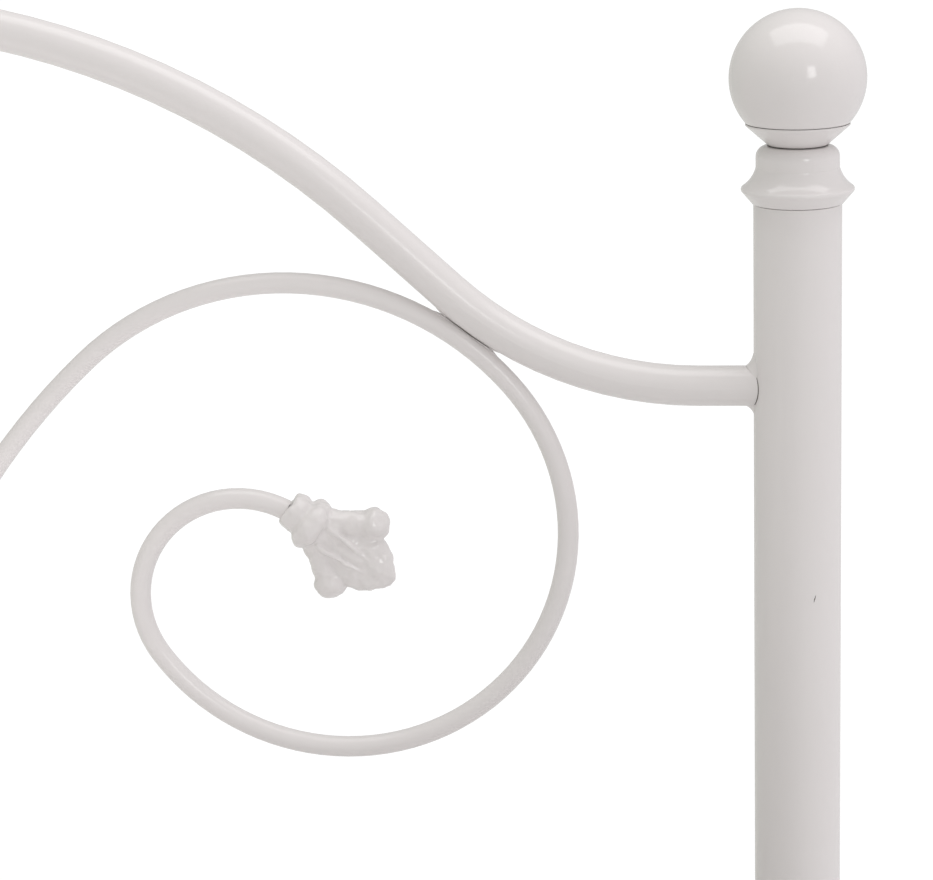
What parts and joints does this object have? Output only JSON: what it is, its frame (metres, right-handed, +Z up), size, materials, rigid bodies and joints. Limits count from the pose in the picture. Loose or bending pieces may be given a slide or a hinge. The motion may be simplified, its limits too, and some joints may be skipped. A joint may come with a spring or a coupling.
{
  "type": "daybed",
  "caption": "Twin daybed of bent metal tube: two arms and a back with humped top rails, scrolled hearts and ball-topped posts, round a slatted deck.",
  "frame": {"origin": "on the floor, under the middle of the bed's box", "axes": "+X along the bed from the left arm to the right arm, +Y from the open front to the back, +Z up"},
  "size_m": [2.0186, 1.0568, 1.1706],
  "materials": {
    "frame_paint": "white powder coat, satin",
    "finial_paint": "white powder coat over smooth turned metal, satin",
    "casting_paint": "white powder coat over a cast surface, satin",
    "deck_paint": "white powder coat, satin, slightly pebbled",
    "zinc_steel": "bright zinc plate",
    "foot_plastic": "moulded, fine matte",
    "moulded_plastic": "moulded, fine matte"
  },
  "bodies": {
    "frame": {"arm_leaves": "casting_paint", "arm_weld_beads": "frame_paint", "back_centre_leaves": "casting_paint", "back_centre_scrolls": "frame_paint", "back_leaves": "casting_paint", "back_left_inner_scroll": "frame_paint", "back_left_outer_scroll": "frame_paint", "back_lower_rail": "frame_paint", "back_mid_rail": "frame_paint", "back_right_inner_scroll": "frame_paint", "back_right_outer_scroll": "frame_paint", "back_rings": "frame_paint", "back_spindles": "frame_paint", "back_top_rail": "frame_paint", "centre_beam": "deck_paint", "corner_brackets": "deck_paint", "deck_bolts": "zinc_steel", "deck_nuts": "zinc_steel", "deck_slats": "deck_paint", "finial_ball_left_front": "finial_paint", "finial_ball_left_rear": "finial_paint", "finial_ball_right_front": "finial_paint", "finial_ball_right_rear": "finial_paint", "finial_seats": "finial_paint", "finial_studs": "zinc_steel", "frame_bolts": "zinc_steel", "front_side_rail": "deck_paint", "left_arm_front_scroll": "frame_paint", "left_arm_lower_rail": "frame_paint", "left_arm_mid_rail": "frame_paint", "left_arm_rear_scroll": "frame_paint", "left_arm_spindles": "frame_paint", "left_arm_top_rail": "frame_paint", "left_front_post": "frame_paint", "left_rear_post": "frame_paint", "leg_plugs": "zinc_steel", "post_collar_left_front": "finial_paint", "post_collar_left_rear": "finial_paint", "post_collar_right_front": "finial_paint", "post_collar_right_rear": "finial_paint", "post_foot_glides": "foot_plastic", "post_top_plugs": "zinc_steel", "rail_inserts": "zinc_steel", "rear_side_rail": "deck_paint", "right_arm_front_scroll": "frame_paint", "right_arm_lower_rail": "frame_paint", "right_arm_mid_rail": "frame_paint", "right_arm_rear_scroll": "frame_paint", "right_arm_spindles": "frame_paint", "right_arm_top_rail": "frame_paint", "right_front_post": "frame_paint", "right_rear_post": "frame_paint", "saddle_washers": "zinc_steel", "scroll_clasps": "frame_paint", "slat_end_caps": "moulded_plastic", "slat_screws": "zinc_steel", "support_legs": "deck_paint"},
    "left_foot": {"left_leveller": "zinc_steel"},
    "right_foot": {"right_leveller": "zinc_steel"}
  },
  "joints": [
    {"name": "left_foot_screw", "type": "slide", "parent": "frame", "child": "left_foot", "axis": [0, 0, -1], "range_m": [0, 0.012]},
    {"name": "right_foot_screw", "type": "slide", "parent": "frame", "child": "right_foot", "axis": [0, 0, -1], "range_m": [0, 0.012]}
  ]
}
